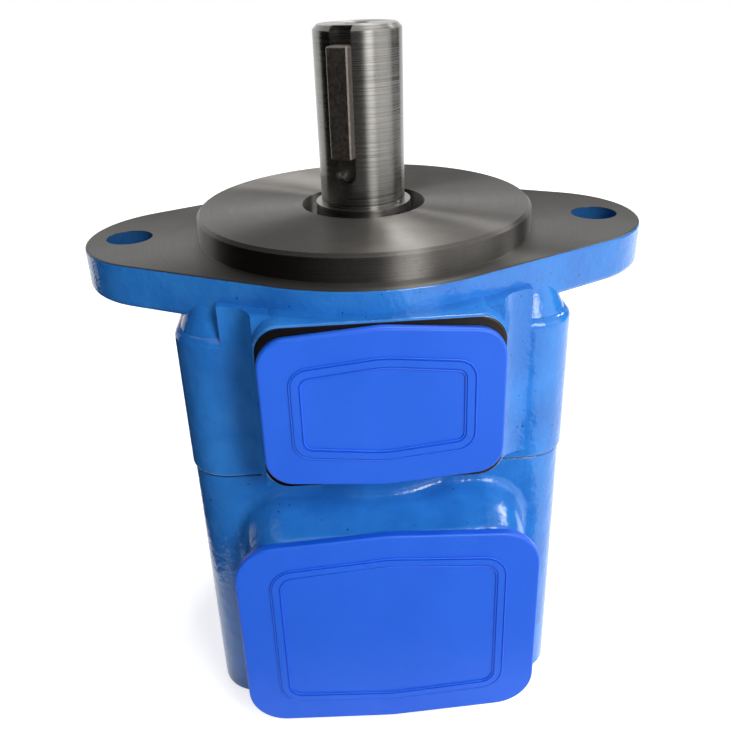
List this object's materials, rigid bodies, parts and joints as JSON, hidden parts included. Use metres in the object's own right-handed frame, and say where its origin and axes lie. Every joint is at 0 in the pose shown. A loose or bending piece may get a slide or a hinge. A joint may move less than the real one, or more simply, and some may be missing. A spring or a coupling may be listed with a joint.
{
  "type": "hydraulic vane pump",
  "caption": "Flange-mounted balanced vane pump with a straight keyed shaft up, two front ports under push-in covers, and a complete cartridge of cam ring, rotor and sliding vanes inside.",
  "frame": {"origin": "centre of the mounting face, on the pilot and shaft axis", "axes": "+Z along the drive shaft, outwards; +X along the line of the two mounting bolts; both ports face -Y"},
  "size_m": [0.213, 0.1509, 0.2582],
  "materials": {
    "cast_iron_enamel": "gloss sky-blue enamel on cast iron; machined faces left bare",
    "bare_cast_iron": "machined cast iron",
    "turned_steel": "bright turned steel",
    "key_steel": "dark key steel",
    "ground_steel": "ground steel",
    "bearing_steel": "polished bearing steel",
    "black_oxide_steel": "black oxide",
    "cage_brass": "pressed brass cage",
    "side_plate_bronze": "bronze-faced",
    "seal_rubber": "matt black rubber",
    "backup_plastic": "white plastic",
    "blue_plastic": "semi-matt royal-blue plastic"
  },
  "bodies": {
    "housing": {"mounting_body": "cast_iron_enamel", "inlet_cover": "cast_iron_enamel", "cover_seal": "seal_rubber", "cover_bolts": "black_oxide_steel", "seal_case": "ground_steel", "seal_lip": "seal_rubber", "seal_spring": "ground_steel", "bearing_outer_race": "bearing_steel", "bearing_retaining_ring": "black_oxide_steel", "outlet_support_plate": "bare_cast_iron", "outlet_plate_seal": "seal_rubber", "outlet_plate_backup_ring": "backup_plastic", "outlet_side_plate": "side_plate_bronze", "inlet_side_plate": "side_plate_bronze", "cam_ring": "ground_steel", "inlet_support_plate": "bare_cast_iron", "shaft_bushing": "side_plate_bronze", "cartridge_pins": "ground_steel", "cartridge_screws": "black_oxide_steel"},
    "shaft": {"drive_shaft": "turned_steel", "shaft_key": "key_steel", "bearing_inner_race": "bearing_steel", "shaft_retaining_ring": "black_oxide_steel", "rotor": "ground_steel", "vane_inserts": "ground_steel"},
    "ball_cage": {"bearing_balls": "bearing_steel", "bearing_cage": "cage_brass"},
    "outlet_cap": {"outlet_port_cap": "blue_plastic"},
    "inlet_cap": {"inlet_port_cap": "blue_plastic"},
    "vane_01_body": {"vane_01": "ground_steel"},
    "vane_02_body": {"vane_02": "ground_steel"},
    "vane_03_body": {"vane_03": "ground_steel"},
    "vane_04_body": {"vane_04": "ground_steel"},
    "vane_05_body": {"vane_05": "ground_steel"},
    "vane_06_body": {"vane_06": "ground_steel"},
    "vane_07_body": {"vane_07": "ground_steel"},
    "vane_08_body": {"vane_08": "ground_steel"},
    "vane_09_body": {"vane_09": "ground_steel"},
    "vane_10_body": {"vane_10": "ground_steel"}
  },
  "joints": [
    {"name": "shaft_spin", "type": "hinge", "parent": "housing", "child": "shaft", "pos_m": [0, 0, 0], "axis": [0, 0, 1], "continuous": true},
    {"name": "ball_cage_spin", "type": "hinge", "parent": "housing", "child": "ball_cage", "pos_m": [0, 0, 0], "axis": [0, 0, 1], "continuous": true},
    {"name": "vane_01_slide", "type": "slide", "parent": "shaft", "child": "vane_01_body", "axis": [0.9877, 0.1564, 0], "range_m": [0, 0.00053]},
    {"name": "vane_02_slide", "type": "slide", "parent": "shaft", "child": "vane_02_body", "axis": [0.7071, 0.7071, 0], "range_m": [0, 0.00268]},
    {"name": "vane_03_slide", "type": "slide", "parent": "shaft", "child": "vane_03_body", "axis": [0.1564, 0.9877, 0], "range_m": [0, 0.00503]},
    {"name": "vane_04_slide", "type": "slide", "parent": "shaft", "child": "vane_04_body", "axis": [-0.454, 0.891, 0], "range_m": [0, 0.00465]},
    {"name": "vane_05_slide", "type": "slide", "parent": "shaft", "child": "vane_05_body", "axis": [-0.891, 0.454, 0], "range_m": [0, 0.00082]},
    {"name": "vane_06_slide", "type": "slide", "parent": "shaft", "child": "vane_06_body", "axis": [-0.9877, -0.1564, 0], "range_m": [0, 0.00053]},
    {"name": "vane_07_slide", "type": "slide", "parent": "shaft", "child": "vane_07_body", "axis": [-0.7071, -0.7071, 0], "range_m": [0, 0.00268]},
    {"name": "vane_08_slide", "type": "slide", "parent": "shaft", "child": "vane_08_body", "axis": [-0.1564, -0.9877, 0], "range_m": [0, 0.00503]},
    {"name": "vane_09_slide", "type": "slide", "parent": "shaft", "child": "vane_09_body", "axis": [0.454, -0.891, 0], "range_m": [0, 0.00465]},
    {"name": "vane_10_slide", "type": "slide", "parent": "shaft", "child": "vane_10_body", "axis": [0.891, -0.454, 0], "range_m": [0, 0.00082]},
    {"name": "outlet_cap_pull", "type": "slide", "parent": "housing", "child": "outlet_cap", "axis": [0, -1, 0], "range_m": [0, 0.08]},
    {"name": "inlet_cap_pull", "type": "slide", "parent": "housing", "child": "inlet_cap", "axis": [0, -1, 0], "range_m": [0, 0.08]}
  ],
  "couplings": [
    {"joint": "ball_cage_spin", "follows": "shaft_spin", "ratio": 0.3963}
  ]
}
